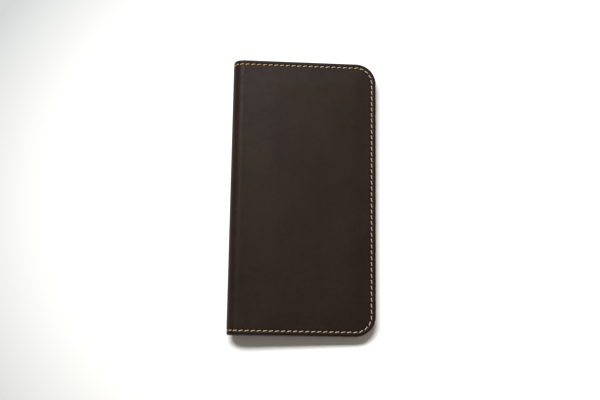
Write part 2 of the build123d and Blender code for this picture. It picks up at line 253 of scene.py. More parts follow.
def ruled(keys, steps):
    """Grid lines through every key, about a step apart between one key and the next."""
    parts = [np.linspace(low, high, max(1, round((high - low) / step)) + 1)[:-1]
             for low, high, step in zip(keys, keys[1:], steps)]
    return np.append(np.concatenate(parts), keys[-1])


class Outline:
    """A sheet's plan, a strip from low to high and `half` wide to each side. Each end has round corners,
    or a radius of 0 where the leather is one with the next piece and the strip ends square."""

    def __init__(self, low, high, half, low_radius, high_radius, rim):
        self.low, self.high, self.half, self.rim = low, high, half, rim
        self.ends = [(-1, low, low_radius), (1, high, high_radius)]

    def lines(self, fine, coarse, band):
        """The grid's lines along and across, fine within a band of each edge and coarse between."""
        start = self.low + self.rim * (self.ends[0][2] > 0)
        stop = self.high - self.rim * (self.ends[1][2] > 0)
        side = self.half - self.rim
        bands = ((start + band, self.ends[0][2]), (stop - band, self.ends[1][2]))
        inner = [key for key, kept in bands if kept]
        keys = [start] + (inner if stop - start > 2 * band else []) + [stop]
        kept = [(key == start and self.ends[0][2]) or (after == stop and self.ends[1][2])
                for key, after in zip(keys, keys[1:])]
        steps = [fine if edge else coarse for edge in kept]
        across = ruled([-side, -side + band, side - band, side], [fine, coarse, fine])
        return ruled(keys, steps), across

    def corner(self, a, b, end, at, radius):
        """How far past the corner's centre a point lies, both ways."""
        return np.maximum(end * (a - at) + radius, 0), np.maximum(np.abs(b) - self.half + radius, 0)

    def round(self, a, b):
        """Bends a square corner's lines into arcs about its centre: with (x, y) the distances past the
        centre, the point goes to max(x, y) (x, y) / |(x, y)|."""
        for end, at, radius in self.ends:
            x, y = self.corner(a, b, end, at, radius)
            bent = (x > 0) & (y > 0)
            scale = np.where(bent, np.maximum(x, y) / np.where(bent, np.hypot(x, y), 1), 1)
            a = np.where(bent, at + end * (x * scale - radius), a)
            b = np.where(bent, np.sign(b) * (self.half - radius + y * scale), b)
        return a, b

    def outward(self, a, b):
        """The way out of the plan at its edge, a unit vector, or nothing along a square end."""
        out_a, out_b = np.zeros(np.shape(a)), np.zeros(np.shape(a))
        for end, at, radius in self.ends:
            reach = radius if radius else self.rim + 1e-7
            x, y = self.corner(a, b, end, at, reach)
            x = x if radius else 0 * x
            near = end * (a - (self.low + self.high) / 2) >= 0
            length = np.maximum(np.hypot(x, y), 1e-12)
            out_a = np.where(near, end * x / length, out_a)
            out_b = np.where(near, np.sign(b) * y / length, out_b)
        return out_a, out_b


class Opening:
    """A round-cornered window in a sheet. Lines round it are bent as at a corner, less and less further
    out."""

    def __init__(self, at, half_a, half_b, radius):
        self.at, self.half, self.radius = at, (half_a, half_b), radius

    def past(self, a, b):
        return [np.abs(value - at) - half for value, at, half in zip((a, b), self.at, self.half)]

    def keys(self, axis, rim):
        """Where the grid needs a line so that the opening's edge and corners fall on one."""
        at, half = self.at[axis], self.half[axis] + rim
        inner = half - self.radius - rim
        found = [at - half, at + half]
        return found + ([at - inner, at + inner] if inner > 1e-7 else [at])

    def round(self, a, b, rim):
        radius = self.radius + rim
        x, y = [np.maximum(value + self.radius, 0) for value in self.past(a, b)]
        bent = (x > 0) & (y > 0)
        most = np.maximum(x, y)
        share = bent * np.clip(1 - (most - radius) / radius, 0, 1)
        scale = 1 + share * (most / np.where(bent, np.hypot(x, y), 1) - 1)
        a = a + np.sign(a - self.at[0]) * x * (scale - 1)
        b = b + np.sign(b - self.at[1]) * y * (scale - 1)
        return a, b

    def inward(self, a, b):
        x, y = [np.maximum(value + self.radius, 0) for value in self.past(a, b)]
        x = np.where((x <= 0) & (y <= 0), 1, x)
        length = np.maximum(np.hypot(x, y), 1e-12)
        return -np.sign(a - self.at[0]) * x / length, -np.sign(b - self.at[1]) * y / length


def open_edges(cells):
    """The sides of the grid's cells that have no cell across them, as (start i, start j, end i, end j)."""
    padded = np.pad(cells, 1)
    found = []
    for step, start, stop in (((0, -1), (0, 0), (1, 0)), ((1, 0), (1, 0), (1, 1)),
                              ((0, 1), (1, 1), (0, 1)), ((-1, 0), (0, 1), (0, 0))):
        beside = np.roll(padded, (-step[0], -step[1]), (0, 1))[1:-1, 1:-1]
        i, j = np.nonzero(cells & ~beside)
        found.append(np.stack([i + start[0], j + start[1], i + stop[0], j + stop[1]], axis=1))
    return np.concatenate(found)


def sheet(outline, run, across, outer, inner, openings=(), place=wrap, wear_and_shade_at=None, turns=4):
    """A sheet between the depths outer(along, y) and inner(along, y), on the grid of `run` by `across`
    lines. Its edge is half round: from the outer face's rim O to the inner face's I it goes through
    (O + I)/2 + (O - I)/2 cos t + rim sin t outwards, for t from 0 to half a turn."""
    a, b = np.meshgrid(run, across, indexing="ij")
    middle_a = (a[:-1, :-1] + a[1:, 1:]) / 2
    middle_b = (b[:-1, :-1] + b[1:, 1:]) / 2
    cells = np.ones(middle_a.shape, bool)
    out_a, out_b = outline.outward(a, b)
    flat_a, flat_b = outline.round(a, b)
    for opening in openings:
        past_a, past_b = opening.past(middle_a, middle_b)
        cells &= (past_a > outline.rim) | (past_b > outline.rim)
        past_a, past_b = opening.past(a, b)
        on_rim = (past_a < outline.rim + 1e-7) & (past_b < outline.rim + 1e-7)
        in_a, in_b = opening.inward(a, b)
        out_a, out_b = np.where(on_rim, in_a, out_a), np.where(on_rim, in_b, out_b)
        flat_a, flat_b = opening.round(flat_a, flat_b, outline.rim)
    top, bottom = outer(flat_a, flat_b), inner(flat_a, flat_b)
    flat = np.stack([flat_a, flat_b], axis=-1)

    number = np.arange(a.size).reshape(a.shape)
    i, j = np.nonzero(cells)
    face = np.stack([number[i, j], number[i + 1, j], number[i + 1, j + 1], number[i, j + 1]], axis=1)
    edges = open_edges(cells)
    start = number[edges[:, 0], edges[:, 1]]
    stop = number[edges[:, 2], edges[:, 3]]
    rim_points, at = np.unique(np.concatenate([start, stop]), return_inverse=True)
    start_at, stop_at = at[:len(start)], at[len(start):]

    corner = flat.reshape(-1, 2)[rim_points]
    out = np.stack([out_a, out_b], axis=-1).reshape(-1, 2)[rim_points]
    high, low = top.reshape(-1)[rim_points], bottom.reshape(-1)[rim_points]
    angle = np.pi * np.arange(1, turns)[:, None] / turns
    rim_flat = corner[None] + outline.rim * np.sin(angle)[..., None] * out[None]
    rim_depth = (high + low) / 2 + (high - low) / 2 * np.cos(angle)

    plan = np.concatenate([flat.reshape(-1, 2), flat.reshape(-1, 2), rim_flat.reshape(-1, 2)])
    depth = np.concatenate([top.reshape(-1), bottom.reshape(-1), rim_depth.reshape(-1)])
    turned = 2 * a.size + np.arange(len(rim_points) * (turns - 1)).reshape(turns - 1, -1)
    row = [rim_points, *turned, rim_points + a.size]
    strips = [np.stack([near[stop_at], near[start_at], far[start_at], far[stop_at]], axis=1)
              for near, far in zip(row, row[1:])]
    faces = np.concatenate([face, (face + a.size)[:, ::-1]] + strips)
    paint = np.repeat([0, 1], [2 * len(face), turns * len(start)])
    used, faces = np.unique(faces, return_inverse=True)
    faces = faces.reshape(-1, 4)
    plan, depth = plan[used], depth[used]
    wear_and_shade = np.zeros(len(used)) if wear_and_shade_at is None else wear_and_shade_at(plan[:, 0], plan[:, 1])
    uv_map = plan + np.stack([depth, 0 * depth], axis=1)
    return shell(place(plan[:, 0], plan[:, 1], depth), faces, uv_map[faces], paint, wear_and_shade)


CAP = np.array([[0, 1, 2, 3], [0, 3, 4, 7], [4, 5, 6, 7]])
AROUND = np.arange(8) * np.pi / 4


def tube_faces(rings):
    """Faces and UV of a closed tube of 8-sided rings: the walls, and three faces to close each end. The
    UV goes from 0 to 1 round the tube and along it."""
    i, j = np.meshgrid(np.arange(rings - 1), np.arange(8), indexing="ij")
    i, j = i.ravel(), j.ravel()
    after = (j + 1) % 8
    walls = np.stack([8 * i + j, 8 * i + after, 8 * (i + 1) + after, 8 * (i + 1) + j], axis=1)
    low = np.stack([j / 8, i / (rings - 1)], axis=1)
    size = np.array([[0, 0], [1 / 8, 0], [1 / 8, 1 / (rings - 1)], [0, 1 / (rings - 1)]])
    caps = np.concatenate([CAP[:, ::-1], CAP + 8 * (rings - 1)])
    cap_uv = np.tile(np.array([[0.1, 0], [0.2, 0], [0.2, 0.05], [0.1, 0.05]]), (6, 1, 1))
    return np.concatenate([walls, caps]), np.concatenate([low[:, None] + size[None], cap_uv])


def bar(centre, sideways, upwards, widths, heights, squareness=0.72):
    """A rounded bar through the points centre (n, 3). Its section is a squared circle with half sizes
    widths and heights: each of cos and sin is raised to the power `squareness`, its sign kept. sideways
    and upwards are the section's two axes, with the bar running along sideways x upwards."""
    across = np.sign(np.cos(AROUND)) * np.abs(np.cos(AROUND)) ** squareness
    up = np.sign(np.sin(AROUND)) * np.abs(np.sin(AROUND)) ** squareness
    centre, sideways, upwards = (np.broadcast_to(np.array(value, float), (len(widths), 3))
                                 for value in (centre, sideways, upwards))
    reach = np.array(widths)[:, None, None] * across[None, :, None] * sideways[:, None]
    lift = np.array(heights)[:, None, None] * up[None, :, None] * upwards[:, None]
    faces, uv = tube_faces(len(widths))
    return shell((centre[:, None] + reach + lift).reshape(-1, 3), faces, uv)


# ---------------------------------------------------------------- thread
THREAD_HALF_WIDTH = 0.27 * MM
THREAD_HALF_HEIGHT = 0.25 * MM
THREAD_HALF_LENGTH = 1.62 * MM
THREAD_STATIONS = np.array([-1, -0.86, -0.5, 0, 0.5, 0.86, 1])
THREAD_PROUD = 0.14 * MM
THREAD_DIVE = 0.55 * MM


def thread(along, y, heading, start_depth, end_depth, face):
    """Stitches in the layout, at (along, y) and pointing along `heading`. At station q, from -1 to 1, the
    thread's middle stands THREAD_PROUD - THREAD_DIVE q^4 proud of the line from the start's depth to the
    end's, so both ends dive into their holes. face is -1 on the outer side of the leather and 1 on the
    inner side."""
    q = THREAD_STATIONS[None, :, None]
    angle = AROUND[None, None, :]
    along, y, heading, start_depth, end_depth = (np.asarray(value, float)[:, None, None] + 0 * q
                                                 for value in np.broadcast_arrays(
                                                     along, y, heading, start_depth, end_depth))
    taper = 1 - 0.3 * q**6
    forward = THREAD_HALF_LENGTH * q
    sideways = THREAD_HALF_WIDTH * taper * np.cos(angle)
    proud = THREAD_PROUD - THREAD_DIVE * q**4 + THREAD_HALF_HEIGHT * taper * np.sin(angle)
    depth = (start_depth + end_depth) / 2 + (end_depth - start_depth) / 2 * q + face * proud
    at = along + np.cos(heading) * forward - np.sin(heading) * sideways
    across = y + np.sin(heading) * forward + np.cos(heading) * sideways
    points = wrap(at, across, depth).reshape(-1, 3)
    faces, uv = tube_faces(len(THREAD_STATIONS))
    faces = faces if face > 0 else faces[:, ::-1]
    uv = uv if face > 0 else uv[:, ::-1]
    count = at.shape[0]
    numbers = 8 * len(THREAD_STATIONS) * np.arange(count)
    return shell(points, (faces[None] + numbers[:, None, None]).reshape(-1, 4), np.tile(uv, (count, 1, 1)))


def edge_seam():
    """Every stitch of a half's edge seam, as (u, v, out_u, out_v): a distance s from the middle of the
    open edge is |v| first, then an arc of SEAM_RADIUS, then straight back to the fold. out is the way out
    of the wallet."""
    s = (np.arange(-HALF_SEAM_STITCHES, HALF_SEAM_STITCHES) + 0.5) * HALF_SEAM / HALF_SEAM_STITCHES
    side = np.sign(s)
    straight = np.minimum(np.abs(s), CORNER_V)
    bend = np.clip(np.abs(s) - CORNER_V, 0, SEAM_BEND) / SEAM_RADIUS
    back = np.maximum(np.abs(s) - CORNER_V - SEAM_BEND, 0)
    u = CORNER_U + SEAM_RADIUS * np.cos(bend) - back
    v = side * (straight + SEAM_RADIUS * np.sin(bend))
    return u, v, np.cos(bend), side * np.sin(bend)


def lean(out_a, out_b, face):
    """A stitch's heading: clockwise round the leather, its leading end leaning outwards."""
    return np.arctan2(out_b, out_a) - np.pi / 2 - face * STITCH_LEAN


def half_seam(front, surface, face):
    """A half's edge stitches, on the surface whose depth is surface(u, v) at each end of a stitch."""
    u, v, out_u, out_v = edge_seam()
    side = 1 if front else -1
    heading = lean(side * out_u, out_v, face)
    step_u = side * np.cos(heading) * THREAD_HALF_LENGTH
    step_v = np.sin(heading) * THREAD_HALF_LENGTH
    along = FOLD_ARC + u if front else -u
    return thread(along, v, heading, surface(u - step_u, v - step_v), surface(u + step_u, v + step_v), face)


def fold_seam(number, depth, face):
    """The stitches on the piece that bends at one hinge, two near each of the wallet's ends."""
    ends = np.array([-1.0, -1.0, 1.0, 1.0])
    along = (2 * number + np.array([0.5, 1.5, 0.5, 1.5])) * FOLD_STITCH_ARC
    return thread(along, ends * (HALF_Y - SEAM_INSET), lean(0 * ends, ends, face), depth, depth, face)


def cross_row(front, u, depth, half):
    """A row of stitches along the wallet at one u, on the inner side."""
    count = round(2 * half / STITCH_PITCH)
    y = (np.arange(count) - (count - 1) / 2) * STITCH_PITCH
    along = FOLD_ARC + u if front else -u
    return thread(along, y, np.pi / 2 + STITCH_LEAN, depth, depth, 1)


# ---------------------------------------------------------------- finishes
def linear(red, green, blue):
    """A colour given as it looks, 0 to 255, in the renderer's linear values."""
    value = np.array([red, green, blue]) / 255
    return (*np.where(value > 0.04045, ((value + 0.055) / 1.055) ** 2.4, value / 12.92), 1.0)


class Finish:
    """A material, its nodes and its shader."""

    def __init__(self, name, roughness, metallic=0.0, specular=0.5):
        self.material = bpy.data.materials.new(name)
        self.material.use_nodes = True
        self.nodes = self.material.node_tree.nodes
        self.shader = self.nodes["Principled BSDF"]
        values = {"Roughness": roughness, "Metallic": metallic, "Specular IOR Level": specular}
        self.set(self.shader, **values)

    def set(self, node, **values):
        """Sets a node's sockets. A value that is another node's output is joined on."""
        for name, value in values.items():
            socket = node.inputs[int(name[1:])] if name[0] == "_" else node.inputs[name]
            if isinstance(value, bpy.types.NodeSocket):
                self.material.node_tree.links.new(value, socket)
            else:
                socket.default_value = value
        return node

    def add(self, kind, settings=(), **values):
        node = self.nodes.new(kind)
        for name, value in settings:
            setattr(node, name, value)
        return self.set(node, **values)

    def math(self, operation, first, second=0.0, third=0.0):
        node = self.add("ShaderNodeMath", [("operation", operation)], _0=first, _1=second, _2=third)
        return node.outputs[0]

    def noise(self, where, scale, detail=2.0, roughness=0.5, distortion=0.0):
        values = {"Vector": where, "Scale": scale, "Detail": detail, "Roughness": roughness,
                  "Distortion": distortion}
        return self.add("ShaderNodeTexNoise", **values).outputs["Fac"]

    def cells(self, where, scale, feature="DISTANCE_TO_EDGE"):
        values = {"Vector": where, "Scale": scale}
        return self.add("ShaderNodeTexVoronoi", [("feature", feature)], **values).outputs["Distance"]

    def spread(self, value, low, high, to_low=0.0, to_high=1.0):
        """Carries low..high to to_low..to_high, with nothing beyond."""
        return self.add("ShaderNodeMapRange", _0=value, _1=low, _2=high, _3=to_low, _4=to_high).outputs[0]

    def mix(self, share, first, second, blend="MIX"):
        settings = [("data_type", "RGBA"), ("blend_type", blend)]
        return self.add("ShaderNodeMix", settings, _0=share, _6=first, _7=second).outputs[2]

    def stretched(self, where, scale):
        return self.add("ShaderNodeMapping", **{"Vector": where, "Scale": scale}).outputs[0]

    def bump(self, height, distance, strength=1.0, normal=None):
        values = {"Height": height, "Distance": distance, "Strength": strength}
        if normal is not None:
            values["Normal"] = normal
        return self.add("ShaderNodeBump", **values).outputs[0]

    def uv(self):
        return self.add("ShaderNodeTexCoord").outputs["UV"]

    def object(self):
        return self.add("ShaderNodeTexCoord").outputs["Object"]

    def wear_and_shade(self):
        return self.add("ShaderNodeAttribute", [("attribute_name", "wear_and_shade")]).outputs["Fac"]


def leather(name, dark, light, roughness, grain, specular=0.22):
    """Smooth drum-dyed leather: cloudy dye, fine pores and creases, darker towards the cut edge from wear,
    with painted shade along the seam and in the slots' creases, as the mesh's mask gives. The pattern
    follows the hide, in metres."""
    finish = Finish(name, roughness, specular=specular)
    where = finish.uv()
    clouds = finish.noise(where, 30, 3, 0.55)
    mottle = finish.noise(where, 420, 4, 0.6)
    shade = finish.spread(clouds, 0.3, 0.7)
    shade = finish.math("MULTIPLY", shade, 0.55)
    shade = finish.math("MULTIPLY_ADD", finish.spread(mottle, 0.3, 0.7), 0.45, shade)
    colour = finish.mix(shade, dark, light)
    pores = finish.cells(where, 1500)
    colour = finish.mix(finish.spread(pores, 0, 0.08, 0.25, 0), colour, (0.004, 0.0028, 0.0022, 1))
    # The mask's darkening: wear at the cut edge, and painted shade along the seam's channel and the slots'
    # creases.
    colour = finish.mix(finish.spread(finish.wear_and_shade(), 0, 1, 0, 0.58), colour, (0.0065, 0.0036, 0.0022, 1))
    finish.set(finish.shader, **{"Base Color": colour})
    uneven = finish.noise(where, 160, 3, 0.6)
    rough = finish.spread(uneven, 0.25, 0.75, roughness - 0.06, roughness + 0.07)
    finish.set(finish.shader, Roughness=rough)
    creases = finish.noise(finish.stretched(where, (1, 0.55, 1)), 620, 5, 0.62, 0.6)
    fine = finish.noise(where, 3200, 2, 0.5)
    broad = finish.bump(finish.noise(where, 75, 2, 0.5), 0.35 * MM, 0.3)
    normal = finish.bump(creases, grain, 0.55, broad)
    normal = finish.bump(finish.spread(pores, 0, 0.12), 0.5 * grain, 0.4, normal)
    normal = finish.bump(fine, 0.4 * grain, 0.35, normal)
    finish.set(finish.shader, Normal=normal)
    return finish.material


def edge_paint():
    """The cut edges: burnished and painted dark, with faint lines where the layers meet."""
    finish = Finish("edge_paint", 0.4)
    where = finish.object()
    streaks = finish.noise(finish.stretched(where, (60, 60, 900)), 1.0, 4, 0.6)
    colour = finish.mix(finish.spread(streaks, 0.3, 0.7), linear(34, 23, 17), linear(56, 38, 29))
    finish.set(finish.shader, **{"Base Color": colour})
    finish.set(finish.shader, Roughness=finish.spread(streaks, 0.3, 0.7, 0.34, 0.5))
    grainy = finish.noise(where, 1400, 3, 0.6)
    finish.set(finish.shader, Normal=finish.bump(grainy, 0.08 * MM, 0.5))
    return finish.material


def waxed_thread():
    """Three-ply waxed thread: strands that wind round it, cream, with painted shade darkening the grooves
    between the strands, and warmer and deeper in tone near the fold."""
    finish = Finish("waxed_thread", 0.55, specular=0.3)
    parts = finish.add("ShaderNodeSeparateXYZ", Vector=finish.uv())
    round_thread = finish.math("MULTIPLY", parts.outputs[0], 3)
    winding = finish.math("MULTIPLY_ADD", parts.outputs[1], 2.4, round_thread)
    strands = finish.math("ABSOLUTE", finish.math("SINE", finish.math("MULTIPLY", winding, math.pi)))
    where = finish.object()
    place = finish.add("ShaderNodeSeparateXYZ", Vector=where)
    near_fold = finish.spread(place.outputs[0], -0.012, -0.036)
    upper = finish.spread(place.outputs[1], -0.05, 0.085)
    tone = finish.spread(finish.noise(where, 90, 2, 0.5), 0.35, 0.65)
    warm = finish.math("MULTIPLY", near_fold, upper)
    warm = finish.math("MULTIPLY_ADD", tone, 0.35, finish.math("MULTIPLY", warm, 0.75))
    colour = finish.mix(warm, linear(190, 174, 157), linear(202, 163, 110))
    # Painted shade: the grooves between the strands are darkened, following the same pattern as the bump.
    colour = finish.mix(finish.spread(strands, 0, 0.45, 0.7, 0), colour, linear(92, 58, 32))
    finish.set(finish.shader, **{"Base Color": colour})
    fibres = finish.noise(where, 5200, 2, 0.6)
    normal = finish.bump(strands, 0.16 * MM, 0.8)
    finish.set(finish.shader, Normal=finish.bump(fibres, 0.03 * MM, 0.5, normal))
    return finish.material


def woven_tape():
    """Zip tape in a herringbone: slanted yarns whose slant turns back every 1.6 mm across the tape."""
    finish = Finish("zip_tape", 0.85, specular=0.2)
    parts = finish.add("ShaderNodeSeparateXYZ", Vector=finish.uv())
    zigzag = finish.math("PINGPONG", parts.outputs[0], 0.8 * MM)
    phase = finish.math("MULTIPLY", finish.math("ADD", parts.outputs[1], zigzag), 2 * math.pi / (0.62 * MM))
    yarn = finish.math("MULTIPLY_ADD", finish.math("SINE", phase), 0.5, 0.5)
    rib = finish.math("SINE", finish.math("MULTIPLY", parts.outputs[0], 2 * math.pi / (0.4 * MM)))
    height = finish.math("MULTIPLY_ADD", rib, 0.2, yarn)
    fuzz = finish.noise(finish.uv(), 2600, 3, 0.7)
    # Partly painted shade: the yarns' crests are lighter and the grooves between them darker, mixed with a
    # random fuzz tone.
    shade = finish.math("MULTIPLY_ADD", fuzz, 0.35, finish.math("MULTIPLY", yarn, 0.65))
    finish.set(finish.shader, **{"Base Color": finish.mix(shade, linear(22, 16, 13), linear(62, 46, 37))})
    finish.set(finish.shader, Normal=finish.bump(height, 0.09 * MM, 0.7))
    finish.set(finish.shader, **{"Sheen Weight": 0.2, "Sheen Roughness": 0.5})
    return finish.material


def brass(name, roughness, bright, dull):
    """Brass with a little tarnish in blotches, and fine lines from polishing."""
    finish = Finish(name, roughness, metallic=1.0)
    where = finish.object()
    tarnish = finish.spread(finish.noise(where, 260, 4, 0.6), 0.35, 0.7)
    lines = finish.noise(finish.stretched(where, (1, 0.06, 1)), 5200, 3, 0.6)
    finish.set(finish.shader, **{"Base Color": finish.mix(tarnish, bright, dull)})
    rough = finish.math("MULTIPLY_ADD", tarnish, 0.14, roughness)
    finish.set(finish.shader, Roughness=rough)
    finish.set(finish.shader, Normal=finish.bump(lines, 0.02 * MM, 0.5))
    return finish.material


COVER_LEATHER = leather("cover_leather", linear(25, 18, 14), linear(37, 27, 22), 0.42, 0.06 * MM, 0.06)
INNER_LEATHER = leather("inner_leather", linear(44, 32, 26), linear(64, 47, 38), 0.52, 0.09 * MM)
LINING_LEATHER = leather("lining_leather", linear(58, 42, 34), linear(80, 60, 48), 0.68, 0.12 * MM, 0.3)
EDGE_PAINT = edge_paint()
THREAD = waxed_thread()
TAPE_WEAVE = woven_tape()
TOOTH_BRASS = brass("zip_brass", 0.32, linear(200, 164, 100), linear(142, 106, 58))
SLIDER_BRASS = brass("slider_brass", 0.2, linear(214, 180, 116), linear(176, 136, 80))


# ---------------------------------------------------------------- putting pieces in the scene
SHARP_ANGLE = math.radians(55)


def piece(name, made, finishes, slot, replaces):
    """A shell as an object, with its UV map, its mask of wear and painted shade, and its finishes."""
    mesh = bpy.data.meshes.new(name)
    points, faces = made["points"], made["faces"]
    mesh.vertices.add(len(points))
    mesh.vertices.foreach_set("co", points.astype(np.float32).ravel())
    mesh.loops.add(4 * len(faces))
    mesh.loops.foreach_set("vertex_index", faces.astype(np.int32).ravel())
    mesh.polygons.add(len(faces))
    mesh.polygons.foreach_set("loop_start", np.arange(0, 4 * len(faces), 4, dtype=np.int32))
    paint = np.minimum(made["paint"], len(finishes) - 1).astype(np.int32)
    mesh.polygons.foreach_set("material_index", paint)
    mesh.polygons.foreach_set("use_smooth", np.ones(len(faces), bool))
    mesh.uv_layers.new(name="hide").data.foreach_set("uv", made["uv"].astype(np.float32).ravel())
    mesh.attributes.new("wear_and_shade", "FLOAT", "POINT").data.foreach_set("value", made["wear_and_shade"].astype(np.float32))
    mesh.update(calc_edges=True)
    mesh.validate()
    mesh.set_sharp_from_angle(angle=SHARP_ANGLE)
    for finish in finishes:
        mesh.materials.append(finish)
    made_object = bpy.data.objects.new(name, mesh)
    bpy.context.scene.collection.objects.link(made_object)
    if replaces:
        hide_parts(*replaces)
    return made_object


def riding(body, *settings):
    """A piece that moves with one body."""
    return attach(piece(*settings), body)


def bending(number, *settings):
    """A piece at one hinge of the fold, its placing baked into its points. The points at the hinge's two
    ends along the fold are worked out but not used, and nothing here makes the piece bend."""
    start = wrap(number * HINGE_ARC, 0.0, LINING_TOP)
    end = wrap((number + 1) * HINGE_ARC, 0.0, LINING_TOP)
    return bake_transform(piece(*settings))


# ---------------------------------------------------------------- cover and lining
def sewn_wear_and_seam_shade(along, y):
    """1 at the cut edge for its wear, falling to 0 some 6 mm in, with a line of painted shade along the
    seam's sunken channel.
    """
    d = inset(from_fold(along), y)
    return np.clip((1 - smooth(d / (5.5 * MM))) * 0.75 + 0.35 * ridge(d - SEAM_INSET, 0.8 * MM), 0, 1)


def level(depth):
    """A face at one depth all over."""
    return lambda along, y: depth + 0 * along


def hinge_span(number):
    """Where the piece that bends at one hinge starts and ends along the layout, and its two ends'
    corners."""
    low = -HALF_LENGTH if number == 0 else number * HINGE_ARC
    high = FOLD_ARC + HALF_LENGTH if number == HINGES - 1 else (number + 1) * HINGE_ARC
    return low, high, CORNER_RADIUS * (number == 0), CORNER_RADIUS * (number == HINGES - 1)


def fold_layer(number, rim, outer, inner):
    """One stretch of the cover or the lining."""
    low, high, low_radius, high_radius = hinge_span(number)
    outline = Outline(low, high, HALF_Y, low_radius, high_radius, rim)
    run, across = outline.lines(EDGE_STEP, 1.0 * MM, EDGE_BAND)
    on_fold = ruled([max(low, 0.0), min(high, FOLD_ARC)], [FOLD_STEP])
    flat = run[(run < -FOLD_STEP) | (run > FOLD_ARC + FOLD_STEP)]
    return sheet(outline, np.sort(np.append(flat, on_fold)), across, outer, inner, wear_and_shade_at=sewn_wear_and_seam_shade)


for number, part in enumerate(("back", "fold", "front")):
    halves = ("lower", "upper") if part == "fold" else ()
    covers = [f"fold_cover_{half}" for half in halves] or [f"{part}_cover"]
    linings = [f"fold_lining_{half}" for half in halves] or [f"{part}_lining"]
    bending(number, f"cover_{part}", fold_layer(number, 0.4 * MM, cover_outer, level(COVER)),
            [COVER_LEATHER, EDGE_PAINT], "cover_leather", covers)
    bending(number, f"lining_{part}", fold_layer(number, 0.15 * MM, level(COVER), level(LINING_TOP)),
            [LINING_LEATHER, EDGE_PAINT], "lining_leather", linings)


# ---------------------------------------------------------------- panels
def top_dip(u, v):
    """The inner side of the stack gives way along the edge seam less than the outer side."""
    return 0.6 * seam_dip(u, v)


def half_outline(front, rim, far_radius=CORNER_RADIUS):
    """A panel as large as its half, with a free edge next to the fold."""
    if front:
        return Outline(FOLD_ARC + FREE_EDGE, FOLD_ARC + HALF_LENGTH, HALF_Y, FREE_CORNER, far_radius, rim)
    return Outline(-HALF_LENGTH, -FREE_EDGE, HALF_Y, far_radius, FREE_CORNER, rim)


def plain_panel(front):
    """A bill pocket's panel: sewn on three sides and free next to the fold, with a crease along that
    edge."""
    outline = half_outline(front, 0.2 * MM)

    def inner(along, y):
        u = from_fold(along)
        return BASE_TOP - top_dip(u, y) * front - 0.1 * MM * ridge(u - FREE_EDGE - 1.6 * MM, 0.25 * MM)

    lines = outline.lines(EDGE_STEP, 1.4 * MM, EDGE_BAND)
    return sheet(outline, *lines, level(LINING_TOP), inner, wear_and_shade_at=sewn_wear_and_seam_shade)


riding("back", "bill_panel", plain_panel(False), [INNER_LEATHER, EDGE_PAINT], "inner_leather",
       ["bill_panel"])
riding("front", "card_panel", plain_panel(True), [INNER_LEATHER, EDGE_PAINT], "inner_leather",
       ["card_panel"])


# ---------------------------------------------------------------- card slots
def slot_mouth(number):
    return FIRST_SLOT - (number - 1) * SLOT_STEP


def slot_line(number, tongues):
    """The underside of a slot's bar against u, as two lists: on the panel behind, raised over the bar
    before it at the mouth, with `tongues` thin tongues under it."""
    mouth = slot_mouth(number)
    floor = BASE_TOP + tongues * STEM
    lip = floor if number == 1 else BASE_TOP + max(tongues - 1, 0) * STEM + SLOT
    line = [(mouth - 2 * BAR_OVERLAP, floor), (mouth - BAR_OVERLAP, lip), (mouth, lip)]
    if number == SLOTS:
        last_tongue = slot_mouth(SLOTS - 1) - SLOT_DEPTH
        line = [(last_tongue - 2 * BAR_OVERLAP, BASE_TOP), (last_tongue, floor)] + line
    return np.array(line).T


def slot_under(number, u, v):
    """The bar's underside: the margin's line at the sides and the centre seam, the column's line between,
    with a smooth ramp from one to the other."""
    apart = np.abs(v)
    column = smooth((HALF_Y - SIDE_MARGIN - apart) / RAMP) * smooth((apart - CENTRE_HALF) / RAMP)
    margin_line = np.interp(u, *slot_line(number, 0))
    return margin_line + column * (np.interp(u, *slot_line(number, number - 1)) - margin_line)


def centre_dip(v):
    """The centre seam's channel."""
    return 0.16 * MM * ridge(v, 0.8 * MM)


def card_slot(number):
    """A slot's bar with its creased mouth, and the two tongues behind it that cards stand on."""
    mouth = slot_mouth(number)
    near = FREE_EDGE if number == SLOTS else mouth - BAR
    rim = 0.3 * MM
    outline = Outline(FOLD_ARC + near, FOLD_ARC + mouth, HALF_Y, 0.5 * MM, 0.5 * MM, rim)
    keys = [near + rim, near + 4 * MM, mouth - 4.5 * MM, mouth - rim]
    run = FOLD_ARC + ruled(keys, [0.5 * MM, 1.3 * MM, 0.25 * MM])
    flat, ramp = HALF_Y - SIDE_MARGIN, HALF_Y - SIDE_MARGIN - RAMP
    half_keys = np.array([CENTRE_HALF, CENTRE_HALF + RAMP, ramp, flat, HALF_Y - rim])
    steps = np.array([0.4, 0.5, 1.6, 0.5, 0.5, 0.5, 1.6, 0.5, 0.4]) * MM
    across = ruled([*-half_keys[::-1], *half_keys], steps)

    def outer(along, y):
        return slot_under(number, from_fold(along), y)

    def inner(along, y):
        u = from_fold(along)
        crease = 0.12 * MM * ridge(mouth - 1.7 * MM - u, 0.28 * MM)
        return outer(along, y) + SLOT - crease - centre_dip(y) - top_dip(u, y)

    bars = [sheet(outline, run, across, outer, inner, wear_and_shade_at=slot_wear_and_crease_shade(mouth))]
    floor = BASE_TOP + (number - 1) * STEM
    inside = CENTRE_HALF + RAMP + STEM_CLEARANCE
    half = (HALF_Y - SIDE_MARGIN - RAMP - STEM_CLEARANCE - inside) / 2
    for side in (-1, 1) if number < SLOTS else ():
        low, high = FOLD_ARC + mouth - SLOT_DEPTH, FOLD_ARC + mouth - BAR + STEM_CLEARANCE
        plan = Outline(low, high, half, 1.0 * MM, 1.0 * MM, 0.1 * MM)
        middle = side * (inside + half)
        tongue = sheet(plan, *plan.lines(0.5 * MM, 3 * MM, 2 * MM), level(floor), level(floor + STEM),
                       place=lambda a, b, depth: wrap(a, b + middle, depth))
        bars.append(tongue)
    return together(*bars)


